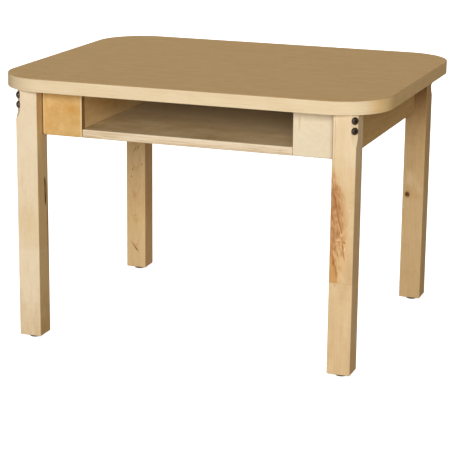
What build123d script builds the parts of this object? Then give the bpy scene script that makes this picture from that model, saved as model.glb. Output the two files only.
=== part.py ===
from build123d import *
import os

# A classroom desk: a laminated top with rounded corners, four bolted hardwood legs,
# plywood rails and an open book box under the top.
# Millimetres. The origin is on the floor under the middle of the top. +X is to the
# right of someone who faces the open side, which is towards -Y, and +Z is up.

os.makedirs("parts", exist_ok=True)

# Sides and ends of the desk, as signs of X and Y
LEFT, RIGHT = -1, 1
FRONT, BACK = -1, 1
SIDES = {"left": LEFT, "right": RIGHT}
ENDS = {"front": FRONT, "back": BACK}
CORNERS = {f"{end}_{side}": (SIDES[side], ENDS[end]) for end in ENDS for side in SIDES}

# Desk and top
desk_height = 520.0
top_length = 762.0
top_depth = 610.0
top_thickness = 25.4
top_corner_radius = 101.6
laminate_thickness = 0.8
laminate_bevel = 0.4
backer_thickness = 0.6
band_thickness = 3.0
band_edge_radius = 1.5
band_joint_gap = 0.2

# Legs, set in from the edges of the top
leg_side = 44.5
leg_inset_side = 44.5
leg_inset_end = 19.0
leg_edge_radius = 2.0
leg_foot_bevel = 0.8
flat_reach = 10.0
flat_straight = 37.5
flat_runout = 29.0

# Glides under the legs
glide_radius = 11.5
glide_height = 7.0
glide_edge_radius = 2.4
nail_radius = 1.3
nail_length = 19.0
nail_point = 3.0

# Rails between the legs, flush with the inner faces of the legs
rail_thickness = 19.0
rail_height = 89.0
rail_corner_radius = 5.0
rail_edge_radius = 2.5

# Book box
box_width = 419.0
board_thickness = 16.0
housing_depth = 6.0
shelf_edge_radius = 2.0

# Corner blocks, measured from the inner corner of the leg
block_height = 70.0
block_reach = 60.0
block_end = 8.0
block_relief = 12.0

# Leg bolts, placed down from the underside of the top
bolt_drops = (11.5, 30.0)
bolt_length = 100.0
bolt_radius = 3.95
bolt_head_radius = 6.9
bolt_head_height = 4.4
bolt_head_round = 3.6
bolt_socket_width = 5.0
bolt_socket_depth = 2.6
bolt_tip_bevel = 0.8
leg_hole_radius = 4.3

# Threaded inserts
insert_radius = 5.9
insert_length = 18.0
insert_flange_radius = 8.0
insert_flange_thickness = 1.5

# Screws
screw_radius = 2.0
screw_head_radius = 4.0
screw_head_height = 2.8
screw_point = 5.0
drive_width = 2.6
drive_depth = 1.6
block_screw_length = 26.0
block_screw_offset = 48.0
block_screw_seat = 14.0
block_screw_drops = (18.0, 52.0)
top_screw_length = 40.0
top_screw_grip = 24.0
top_screw_offsets = ((34.0, 12.0), (12.0, 34.0))
shelf_screw_length = 35.0
shelf_screw_rows = (-195.0, -65.0, 65.0, 195.0)
driver_clearance = 1.5

# Clearance between a fastener and the hole it fills, and how far a cutter runs past a face
hole_gap = 0.05
cut_past = 1.0

# Places worked out from the sizes above
underside = desk_height - top_thickness
core_low = underside + backer_thickness
core_high = desk_height - laminate_thickness
leg_outer_x = top_length / 2 - leg_inset_side
leg_outer_y = top_depth / 2 - leg_inset_end
leg_inner_x = leg_outer_x - leg_side
leg_inner_y = leg_outer_y - leg_side
rail_outer_x = leg_inner_x + rail_thickness
rail_outer_y = leg_inner_y + rail_thickness
rail_low = underside - rail_height
shelf_high = rail_low + board_thickness
wall_inner = box_width / 2
wall_outer = wall_inner + board_thickness
wall_end = leg_inner_y + housing_depth
flat_depth = flat_reach / 2**0.5
leg_diagonal = leg_side * 2**0.5


def box_between(low, high):
    """A box from its lowest corner to its highest, whichever way round each pair is given."""
    pairs = [sorted(pair) for pair in zip(low, high)]
    centre = [(a + b) / 2 for a, b in pairs]
    size = [b - a for a, b in pairs]
    return Pos(*centre) * Box(*size)


def aimed(solid, place, direction):
    """A solid modelled along +Z, moved so that its own +Z points along direction."""
    return Plane(origin=place, z_dir=direction) * solid


def turned(points):
    """A solid turned about Z from (radius, height) points in order."""
    profile = make_face(Polyline(*[(r, 0, z) for r, z in points], close=True))
    return revolve(profile, Axis.Z)


def lowest_face(solid):
    return solid.faces().sort_by(Axis.Z)[0]


def highest_face(solid):
    return solid.faces().sort_by(Axis.Z)[-1]


def drilled(board, hole, places):
    """A board with the same hole at each place, given as a seat and the way its fastener's head faces."""
    for seat, facing in places:
        board -= aimed(hole, seat, facing)
    return board


def fasteners(solid, places):
    return Compound([aimed(solid, seat, facing) for seat, facing in places])


# Tabletop

def slab(inset, low, high):
    """The outline of the top, set in all round, between two heights."""
    outline = RectangleRounded(top_length - 2 * inset, top_depth - 2 * inset, top_corner_radius - inset)
    return Pos(0, 0, low) * extrude(outline, high - low)


def make_top_laminate():
    sheet = slab(0, core_high, desk_height)
    return chamfer(highest_face(sheet).edges(), laminate_bevel)


def make_top_core():
    return slab(band_thickness, core_low, core_high)


def make_top_backer():
    return slab(band_thickness, underside, core_low)


def make_top_edge_band():
    """A strip bent round the core, its two ends meeting at the middle of the back."""
    strip = slab(0, underside, core_high)
    strip = fillet(lowest_face(strip).edges(), band_edge_radius)
    strip -= slab(band_thickness, underside - cut_past, core_high + cut_past)
    joint = box_between((-band_joint_gap / 2, 0, underside), (band_joint_gap / 2, top_depth, core_high))
    return strip - joint


# Fasteners, each along +Z with the face that it seats on at the origin

def make_bolt():
    head = extrude(Circle(bolt_head_radius), bolt_head_height)
    head = fillet(highest_face(head).edges(), bolt_head_round)
    shank = Pos(0, 0, -bolt_length) * extrude(Circle(bolt_radius), bolt_length)
    shank = chamfer(lowest_face(shank).edges(), bolt_tip_bevel)
    hexagon = RegularPolygon(bolt_socket_width / 2, 6, major_radius=False)
    socket = Pos(0, 0, bolt_head_height - bolt_socket_depth) * extrude(hexagon, bolt_head_height)
    return head + shank - socket


def bolt_hole():
    """The clearance hole for a leg bolt, open past both of its ends."""
    low = -bolt_length - leg_side
    return Pos(0, 0, low) * extrude(Circle(leg_hole_radius), leg_side - low)


def make_insert():
    sleeve = Pos(0, 0, -insert_length) * extrude(Circle(insert_radius), insert_length)
    flange = extrude(Circle(insert_flange_radius), insert_flange_thickness)
    bore = Pos(0, 0, -insert_length) * extrude(
        Circle(bolt_radius + hole_gap), insert_length + insert_flange_thickness
    )
    return sleeve + flange - bore


def insert_hole():
    return Pos(0, 0, -insert_length) * extrude(Circle(insert_radius + hole_gap), insert_length + cut_past)


def screw_body(length, gap=0.0):
    """The shank and point of a wood screw, or the hole that it cuts, wider by gap."""
    radius = screw_radius + gap
    return turned([(0, 0), (radius, 0), (radius, screw_point - length), (0, -length - gap)])


def drive_recess(top):
    """A square driver recess, let into a screw's head from above."""
    return Pos(0, 0, top - drive_depth) * extrude(Rectangle(drive_width, drive_width), drive_depth)


def make_flat_screw(length):
    """A countersunk screw, its head flush with the origin."""
    deep = screw_head_height
    head = turned([(0, 0), (screw_head_radius, 0), (screw_radius, -deep), (0, -deep)])
    return head + screw_body(length) - drive_recess(0)


def flat_screw_hole(length):
    wide = screw_head_radius + hole_gap
    narrow = screw_radius + hole_gap
    deep = screw_head_height + hole_gap
    head = turned([(0, cut_past), (wide, cut_past), (wide, 0), (narrow, -deep), (0, -deep)])
    return head + screw_body(length, hole_gap)


def make_pan_screw(length):
    """A screw with a raised head that seats at the origin."""
    head = extrude(Circle(screw_head_radius), screw_head_height)
    head = fillet(highest_face(head).edges(), screw_head_height / 2)
    return head + screw_body(length) - drive_recess(screw_head_height)


def pan_screw_hole(length, counterbore):
    """The hole for a pan-head screw, with room above its head for the driver."""
    room = extrude(Circle(screw_head_radius + driver_clearance), counterbore)
    return room + screw_body(length, hole_gap)


def make_glide():
    """A nail-on glide, its nail up and the flat that it stands on at the origin."""
    cap = extrude(Circle(glide_radius), glide_height)
    cap = fillet(lowest_face(cap).edges(), glide_edge_radius)
    return cap + Pos(0, 0, glide_height) * nail(0.0)


def nail(gap):
    """A nail, or the hole that it makes, from the foot of a leg upwards."""
    radius = nail_radius + gap
    return turned([(0, 0), (radius, 0), (radius, nail_length - nail_point), (0, nail_length + gap)])


# Places of the fasteners: each is a seat and the way that the head faces

def outward(side, end):
    """Level, out along the diagonal of a leg, away from the middle of the desk."""
    return Vector(side, end, 0).normalized()


def inner_corner(side, end, drop):
    """A point on the inner edge of a leg, so far down from the underside of the top."""
    return Vector(side * leg_inner_x, end * leg_inner_y, underside - drop)


def bolt_places(side, end):
    """The leg bolts seat on the flat of the leg."""
    reach = outward(side, end) * (leg_diagonal - flat_depth)
    return [(inner_corner(side, end, drop) + reach, outward(side, end)) for drop in bolt_drops]


def insert_places(side, end):
    """The inserts' flanges seat on the corner block's inner face."""
    reach = outward(side, end) * ((block_reach + block_end) / 2**0.5)
    return [(inner_corner(side, end, drop) - reach, -outward(side, end)) for drop in bolt_drops]


def block_screw_places(side, end):
    """Two screws of a corner block go into the rail along X, and two into the rail along Y."""
    places = []
    for drop in block_screw_drops:
        corner = inner_corner(side, end, drop)
        seat_x = corner - Vector(side * block_screw_offset, end * block_screw_seat, 0)
        seat_y = corner - Vector(side * block_screw_seat, end * block_screw_offset, 0)
        places += [(seat_x, Vector(0, -end, 0)), (seat_y, Vector(-side, 0, 0))]
    return places


def top_screw_places(side, end):
    """The top's screws are driven up from inside a corner block."""
    corner = inner_corner(side, end, top_screw_grip)
    return [(corner - Vector(side * u, end * v, 0), Vector(0, 0, -1)) for u, v in top_screw_offsets]


def shelf_screw_places(side):
    height = (rail_low + shelf_high) / 2
    return [(Vector(side * wall_outer, y, height), Vector(side, 0, 0)) for y in shelf_screw_rows]


def at_all_corners(places):
    return [place for corner in CORNERS.values() for place in places(*corner)]


def at_both_sides(places):
    return [place for side in SIDES.values() for place in places(side)]


# Legs and glides

def leg_flat_cutter(side, end):
    """What is cut from the outer corner of a leg: a flat at the top that runs out in an S-curve."""
    start = (-flat_depth, -flat_straight)
    middle = (-flat_depth / 2, -flat_straight - flat_runout / 2)
    finish = (0, -flat_straight - flat_runout)
    outline = [
        TangentArc(start, middle, tangent=(0, -1)),
        TangentArc(finish, middle, tangent=(0, 1)),
        Polyline(finish, (cut_past, finish[1]), (cut_past, cut_past), (-flat_depth, cut_past), start),
    ]
    direction = outward(side, end)
    corner = inner_corner(side, end, 0) + direction * leg_diagonal
    across = Vector(direction.Y, -direction.X, 0)
    diagonal_plane = Plane(origin=corner, x_dir=direction, z_dir=across)
    return extrude(diagonal_plane * make_face(outline), 2 * flat_reach, both=True)


def leg_middle(side, end, height):
    return Pos(side * (leg_inner_x + leg_outer_x) / 2, end * (leg_inner_y + leg_outer_y) / 2, height)


def make_leg(side, end):
    foot = leg_middle(side, end, glide_height)
    section = RectangleRounded(leg_side, leg_side, leg_edge_radius)
    leg = foot * extrude(section, underside - glide_height)
    leg = chamfer(lowest_face(leg).edges(), leg_foot_bevel)
    leg -= leg_flat_cutter(side, end)
    leg -= foot * nail(hole_gap)
    return drilled(leg, bolt_hole(), bolt_places(side, end))


# Rails

def rail_board(length):
    """An upright board along X, outer face at Y = 0, top at Z = 0, lower corners and edges rounded."""
    board = box_between((-length / 2, -rail_thickness, -rail_height), (length / 2, 0, 0))
    corners = board.edges().filter_by(Axis.Y).group_by(Axis.Z)[0]
    board = fillet(corners, rail_corner_radius)
    outer_face = board.faces().sort_by(Axis.Y)[-1]
    edges_below_top = outer_face.edges().sort_by(Axis.Z)[:-1]
    return fillet(edges_below_top, rail_edge_radius)


def drilled_for_corner(rail, side, end):
    """Pilot holes for a corner block's screws, and the notch where the leg bolts pass the rail's end."""
    pilot = screw_body(block_screw_length, hole_gap)
    rail = drilled(rail, pilot, block_screw_places(side, end))
    return drilled(rail, bolt_hole(), bolt_places(side, end))


def make_side_apron(side):
    rail = Pos(side * rail_outer_x, 0, underside) * Rot(0, 0, -90 * side) * rail_board(2 * leg_inner_y)
    for end in ENDS.values():
        rail = drilled_for_corner(rail, side, end)
    return rail


def make_back_apron():
    """The back rail, with housings for the ends of the box walls and a rebate for the shelf."""
    rail = Pos(0, rail_outer_y, underside) * rail_board(2 * leg_inner_x)
    inner_face = leg_inner_y - cut_past
    for side in SIDES.values():
        rail -= box_between(
            (side * wall_inner, inner_face, rail_low - cut_past),
            (side * wall_outer, wall_end, underside + cut_past),
        )
        rail = drilled_for_corner(rail, side, BACK)
    return rail - box_between(
        (-wall_inner, inner_face, rail_low - cut_past),
        (wall_inner, wall_end, shelf_high),
    )


def make_front_panel(side):
    """A short rail beside the opening of the book box, rebated behind for the end of the box wall."""
    middle = side * (leg_inner_x + wall_inner) / 2
    panel = rail_board(leg_inner_x - wall_inner)
    panel = Pos(middle, -rail_outer_y, underside) * Rot(0, 0, 180) * panel
    panel -= box_between(
        (side * (wall_inner - cut_past), -leg_inner_y + cut_past, rail_low - cut_past),
        (side * wall_outer, -wall_end, underside + cut_past),
    )
    return drilled_for_corner(panel, side, FRONT)


# Book box

def make_box_wall(side):
    """A side of the book box, rebated along its lower inner edge for the shelf."""
    wall = box_between((side * wall_inner, -wall_end, rail_low), (side * wall_outer, wall_end, underside))
    wall -= box_between(
        (side * (wall_inner - cut_past), -wall_end - cut_past, rail_low - cut_past),
        (side * (wall_inner + housing_depth), wall_end + cut_past, shelf_high),
    )
    return drilled(wall, flat_screw_hole(shelf_screw_length), shelf_screw_places(side))


def make_book_shelf():
    """The floor of the book box, housed in its walls, with a tongue out between the front panels."""
    half_width = wall_inner + housing_depth
    shelf = box_between((-half_width, -wall_end, rail_low), (half_width, wall_end, shelf_high))
    tongue = box_between((-wall_inner, -rail_outer_y, rail_low), (wall_inner, -wall_end, shelf_high))
    front_face = tongue.faces().sort_by(Axis.Y)[0]
    shelf += fillet(front_face.edges().filter_by(Axis.X), shelf_edge_radius)
    return drilled(shelf, flat_screw_hole(shelf_screw_length), at_both_sides(shelf_screw_places))


# Corner blocks

def make_corner_block(side, end):
    """A block across the corner of two rails, cut back where it would meet the leg's inner edge."""
    corners = [
        (block_relief, 0),
        (block_reach, 0),
        (block_reach, block_end),
        (block_end, block_reach),
        (0, block_reach),
        (0, block_relief),
    ]
    points = [(side * (leg_inner_x - u), end * (leg_inner_y - v)) for u, v in corners]
    outline = make_face(Polyline(*points, close=True))
    block = Pos(0, 0, underside - block_height) * extrude(outline, block_height, dir=(0, 0, 1))
    block = drilled(block, insert_hole(), insert_places(side, end))
    block = drilled(block, bolt_hole(), bolt_places(side, end))
    block = drilled(block, pan_screw_hole(block_screw_length, block_reach), block_screw_places(side, end))
    return drilled(block, pan_screw_hole(top_screw_length, block_height), top_screw_places(side, end))


# All the pieces, by the names of their nodes

top_pilot = screw_body(top_screw_length, hole_gap)

nodes = {
    "top_laminate": make_top_laminate(),
    "top_core": drilled(make_top_core(), top_pilot, at_all_corners(top_screw_places)),
    "top_backer": drilled(make_top_backer(), top_pilot, at_all_corners(top_screw_places)),
    "top_edge_band": make_top_edge_band(),
    "back_apron": make_back_apron(),
    "book_shelf": make_book_shelf(),
    "leg_bolts": fasteners(make_bolt(), at_all_corners(bolt_places)),
    "threaded_inserts": fasteners(make_insert(), at_all_corners(insert_places)),
    "block_screws": fasteners(make_pan_screw(block_screw_length), at_all_corners(block_screw_places)),
    "top_screws": fasteners(make_pan_screw(top_screw_length), at_all_corners(top_screw_places)),
    "shelf_screws": fasteners(make_flat_screw(shelf_screw_length), at_both_sides(shelf_screw_places)),
}

for name, side in SIDES.items():
    nodes[f"side_apron_{name}"] = make_side_apron(side)
    nodes[f"front_panel_{name}"] = make_front_panel(side)
    nodes[f"box_wall_{name}"] = make_box_wall(side)

for name, (side, end) in CORNERS.items():
    nodes[f"leg_{name}"] = make_leg(side, end)
    nodes[f"glide_{name}"] = leg_middle(side, end, 0) * make_glide()
    nodes[f"corner_block_{name}"] = make_corner_block(side, end)

for name, shape in nodes.items():
    export_step(shape, f"parts/{name}.step")
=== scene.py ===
import math
from dataclasses import dataclass, replace

import bpy
from mathutils import Matrix, Vector


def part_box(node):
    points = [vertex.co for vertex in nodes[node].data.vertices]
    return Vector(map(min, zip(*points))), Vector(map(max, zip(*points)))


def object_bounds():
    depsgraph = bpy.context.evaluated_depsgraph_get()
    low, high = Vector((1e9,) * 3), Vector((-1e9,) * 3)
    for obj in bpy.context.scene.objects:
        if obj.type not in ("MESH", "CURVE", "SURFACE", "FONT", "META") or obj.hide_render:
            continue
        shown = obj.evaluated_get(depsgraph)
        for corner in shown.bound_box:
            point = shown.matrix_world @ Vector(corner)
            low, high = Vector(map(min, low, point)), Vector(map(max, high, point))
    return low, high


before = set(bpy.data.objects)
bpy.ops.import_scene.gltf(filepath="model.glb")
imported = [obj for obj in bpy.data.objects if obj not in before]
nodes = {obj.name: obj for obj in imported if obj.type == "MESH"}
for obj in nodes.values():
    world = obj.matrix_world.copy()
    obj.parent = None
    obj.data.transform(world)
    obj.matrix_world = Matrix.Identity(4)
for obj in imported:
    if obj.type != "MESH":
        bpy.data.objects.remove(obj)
cad_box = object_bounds()

# Units: Blender works in metres, the wood is described in millimetres
MM = 0.001
TO_MM = 1000.0

# Camera, at the photograph's place and angles
IMAGE_PIXELS = 450
SENSOR_WIDTH = 36.0
FOCAL_PIXELS = 1712.02
CAMERA_PLACE = (1.1418, -3.1593, 1.0655)
CAMERA_YAW = math.radians(20.101)
CAMERA_PITCH = math.radians(14.568)
CAMERA_ROLL = math.radians(0.552)

# Lamps: compass angle and height in degrees, distance and size in metres,
# level as the share of a facing white surface's full brightness
KEY = dict(turn=13.0, height=16.5, distance=9.0, size=(5.4, 3.6), level=0.885,
           tint=(1.0, 0.99, 0.975))
OVERHEAD = dict(turn=70.0, height=72.0, distance=5.0, size=(3.6, 3.6), level=0.13,
                tint=(1.0, 0.985, 0.96))
BACK_FILL = dict(turn=206.0, height=30.0, distance=6.0, size=(4.0, 3.0), level=0.36,
                 tint=(1.0, 0.98, 0.95))
WORLD_LEVEL = 0.12
WORLD_TINT = (1.0, 0.9, 0.78)

# The floor: its size, the colour of the light it bounces, and its own light where it is seen
FLOOR_SIZE = 40.0
FLOOR_BOUNCE = (0.36, 0.32, 0.26)
FLOOR_OWN_LIGHT = 0.84

# Finish: a matt lacquer on the wood and a matt laminate
WOOD_ROUGHNESS = 0.76
WOOD_GLOSS = 0.03
WOOD_RELIEF = 0.16
LAMINATE_ROUGHNESS = 0.8
LAMINATE_GLOSS = 0.02
# The share by which board edges pale: wear, and a painted highlight along them
EDGE_WEAR_AND_HIGHLIGHT = 0.16
END_GRAIN_TINT = (214, 190, 160)

# Painted shade: what the colour of faces that look along X is multiplied by, to make them deeper and
# warmer as if in shade
PAINTED_SIDE_SHADE = (1.0, 0.9, 0.75, 1.0)
FRONT_LEFT_SIDE_SHADE = (0.97, 0.84, 0.61, 1.0)
FRONT_RIGHT_SIDE_SHADE = (1.04, 0.99, 0.92, 1.0)
BACK_LEFT_SIDE_SHADE = (0.95, 0.86, 0.82, 1.0)
BACK_RIGHT_SIDE_SHADE = (1.0, 0.97, 0.92, 1.0)
BAND_SIDE_SHADE = (0.97, 0.84, 0.62, 1.0)

# Planes that carry marks: the legs' faces towards the middle of the desk, the front faces of
# the front legs and of the back legs, the front of the panels and the shelf, and the shelf's top
LEG_INNER_X = 292.0
FRONT_LEG_Y = -286.0
BACK_LEG_Y = 241.5
PANEL_Y = -260.5
SHELF_TOP = 421.6

# The joint in each front leg, where two lengths of hardwood meet, and how far from the
# upper length's place in its tree the lower length's place is
LEG_JOINT_HEIGHT = 182.0
JOINT_SHIFT_ACROSS = 31.0
JOINT_SHIFT_ALONG = 940.0

# The heights over which the shade beside a rail sets in, just at the rail's lower edge
RAIL_SHADE_START = 404.0
RAIL_SHADE_FULL = 408.0

# The bolts: how far their axes stand from the 45 degree lines through the desk's middle, the
# height midway between the two in a leg, half the step between them, and the radii of a head's
# rim and of its socket
BOLT_ASIDE = 35.71
BOLT_MIDDLE_HEIGHT = 473.85
BOLT_HALF_STEP = 9.25
BOLT_RIM_RADIUS = 6.3
BOLT_SOCKET_RADIUS = 2.9

# Where the ends of the band's strips meet on the front: its place at a height, and how it slants
SPLICE_X = 26.0
SPLICE_HEIGHT = 504.0
SPLICE_SLANT = 0.1

# The outputs of a noise node: one number, or a colour that serves as three numbers
NOISE_NUMBER = 0
NOISE_COLOUR = 1


def linear(red, green, blue):
    """A screen colour, 0 to 255 a channel, as the linear colour that shaders use."""
    def channel(value):
        value /= 255
        return value / 12.92 if value <= 0.04045 else ((value + 0.055) / 1.055) ** 2.4
    return (channel(red), channel(green), channel(blue), 1.0)


class Graph:
    """Short calls that add and join the nodes of one material."""

    def __init__(self, name):
        self.material = bpy.data.materials.new(name)
        self.material.use_nodes = True
        self.tree = self.material.node_tree
        self.shader = self.tree.nodes["Principled BSDF"]
        source = self.add("ShaderNodeTexCoord")
        self.place = self.vector("SCALE", source.outputs["Object"], factor=TO_MM)
        self.facing = source.outputs["Normal"]

    def put(self, socket, value):
        if isinstance(value, bpy.types.NodeSocket):
            self.tree.links.new(value, socket)
        elif value is not None:
            socket.default_value = value

    def add(self, kind, *values, **settings):
        node = self.tree.nodes.new(kind)
        for key, value in settings.items():
            setattr(node, key, value)
        for socket, value in zip(node.inputs, values):
            self.put(socket, value)
        return node

    def math(self, operation, *values):
        return self.add("ShaderNodeMath", *values, operation=operation).outputs[0]

    def total(self, *values):
        result = values[0]
        for value in values[1:]:
            result = self.math("ADD", result, value)
        return result

    def gain(self, value, factor, offset=0.0):
        """The value times factor, plus offset."""
        return self.math("MULTIPLY_ADD", value, factor, offset)

    def vector(self, operation, a, b=None, factor=None):
        node = self.add("ShaderNodeVectorMath", a, b, operation=operation)
        if factor is not None:
            self.put(node.inputs["Scale"], factor)
        return node.outputs["Value" if operation in ("LENGTH", "DOT_PRODUCT") else "Vector"]

    def split(self, vector):
        return self.add("ShaderNodeSeparateXYZ", vector).outputs[:]

    def join(self, x, y, z):
        return self.add("ShaderNodeCombineXYZ", x, y, z).outputs[0]

    def noise(self, at, stretch=(1.0, 1.0, 1.0), shift=0.0, detail=2.0, rough=0.5,
              output=NOISE_NUMBER):
        at = self.vector("MULTIPLY", at, stretch)
        if shift:
            at = self.vector("ADD", at, (shift * 7.31, shift * 3.17, shift * 5.73))
        node = self.add("ShaderNodeTexNoise")
        self.put(node.inputs["Vector"], at)
        self.put(node.inputs["Scale"], 1.0)
        self.put(node.inputs["Detail"], detail)
        self.put(node.inputs["Roughness"], rough)
        return node.outputs[output]

    def rise(self, value, low, high):
        """0 below low and 1 above high, smooth between; it falls where low is the higher."""
        node = self.add("ShaderNodeMapRange", interpolation_type="SMOOTHSTEP")
        self.put(node.inputs["Value"], value)
        self.put(node.inputs["From Min"], low)
        self.put(node.inputs["From Max"], high)
        return node.outputs[0]

    def ramp(self, value, *stops):
        node = self.add("ShaderNodeValToRGB", value)
        elements = node.color_ramp.elements
        while len(elements) < len(stops):
            elements.new(0.5)
        for element, (position, colour) in zip(elements, stops):
            element.position = position
            element.color = colour
        return node.outputs[0]

    def profile(self, value, *points):
        """A number above 0 that follows value through the points, joined by straight lines."""
        starts, results = zip(*points)
        span = starts[-1] - starts[0]
        scale = max(results)
        stops = [((start - starts[0]) / span, (*(result / scale,) * 3, 1.0))
                 for start, result in points]
        return self.gain(self.ramp(self.gain(value, 1.0 / span, -starts[0] / span), *stops), scale)

    def blend(self, factor, a, b, kind="MIX"):
        """The colour a where factor is 0 and b where it is 1, or a multiplied by b."""
        node = self.add("ShaderNodeMix", data_type="RGBA", blend_type=kind)
        self.put(node.inputs[0], factor)
        self.put(node.inputs[6], a)
        self.put(node.inputs[7], b)
        return node.outputs[2]

    def near(self, centre, radii, ragged=0.3, soft=0.6, turn=0.0, shift=1.0):
        """A mark: 1 at a point of the desk, fading to 0 at the radii, with a ragged edge."""
        offset = self.vector("SUBTRACT", self.place, centre)
        if turn:
            offset = self.add("ShaderNodeVectorRotate", offset, None, None, math.radians(turn),
                              rotation_type="Y_AXIS").outputs[0]
        inverse = tuple(1.0 / radius for radius in radii)
        scaled = self.vector("MULTIPLY", offset, inverse)
        wander = self.noise(scaled, (1.7, 1.7, 1.7), shift=shift, detail=3.0, output=NOISE_COLOUR)
        wander = self.vector("SUBTRACT", wander, (0.5, 0.5, 0.5))
        scaled = self.vector("ADD", scaled, self.vector("SCALE", wander, factor=ragged * 2))
        return self.rise(self.vector("LENGTH", scaled), 1.0, 1.0 - soft)

    def edges(self, low, high, width):
        """1 along the edges of a board between two corners, in millimetres, fading over width."""
        middle = (low + high) / 2
        half = (high - low) / 2
        inner = self.vector("SUBTRACT", tuple(half), self.vector(
            "ABSOLUTE", self.vector("SUBTRACT", self.place, tuple(middle))))
        a, b, c = self.split(inner)
        small = self.math("MINIMUM", a, b)
        large = self.math("MAXIMUM", a, b)
        second = self.math("MAXIMUM", small, self.math("MINIMUM", large, c))
        broken = self.noise(self.place, (0.12, 0.12, 0.12), detail=3.0)
        return self.rise(self.total(second, self.gain(broken, width * 1.6, -width * 0.8)), width, 0.0)

    def finish(self, colour, roughness, height, depth=0.1, **uniform):
        """Joins a colour, a roughness and a relief of so many millimetres to the shader."""
        self.put(self.shader.inputs["Base Color"], colour)
        self.put(self.shader.inputs["Roughness"], roughness)
        bump = self.add("ShaderNodeBump")
        self.put(bump.inputs["Height"], height)
        self.put(bump.inputs["Distance"], depth * MM)
        self.put(bump.inputs["Strength"], 1.0)
        self.put(self.shader.inputs["Normal"], bump.outputs[0])
        for name, value in uniform.items():
            self.put(self.shader.inputs[name.replace("_", " ").title().replace("Ior", "IOR")], value)
        return self.material


@dataclass
class Grain:
    """What one board's wood looks like. Lengths are millimetres, depths are shares of the tones.

    The heart is where the board's middle lies from the tree's, across the grain, and the lean is
    how that changes along the board. The joint is the height where two lengths of wood meet. The
    grade is the middle tone at some heights, from 0 for pale to 1 for dark.
    """
    pale: tuple
    middle: tuple
    dark: tuple
    along: str = "Z"
    ring: float = 5.0
    ring_start: float = 0.25
    heart: tuple = (90.0, 70.0)
    lean: tuple = (0.03, 0.01)
    ring_depth: float = 0.1
    fibre_depth: float = 0.22
    fine_depth: float = 0.16
    fleck_depth: float = 0.15
    curl_depth: float = 0.12
    cloud_depth: float = 0.4
    mottle_depth: float = 0.5
    seed: float = 0.0
    joint: float = None
    grade: tuple = None
    # The tint of the painted shade on faces that look along X
    side_shade_tint: tuple = PAINTED_SIDE_SHADE


# For grain along each axis, the two axes across the board and then the one along it
ORDER = {"X": (1, 2, 0), "Y": (0, 2, 1), "Z": (0, 1, 2)}

# How far apart in the noise two boards lie whose seeds differ by one
SEED_STEP = (211.0, 137.0, 463.0)


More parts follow.
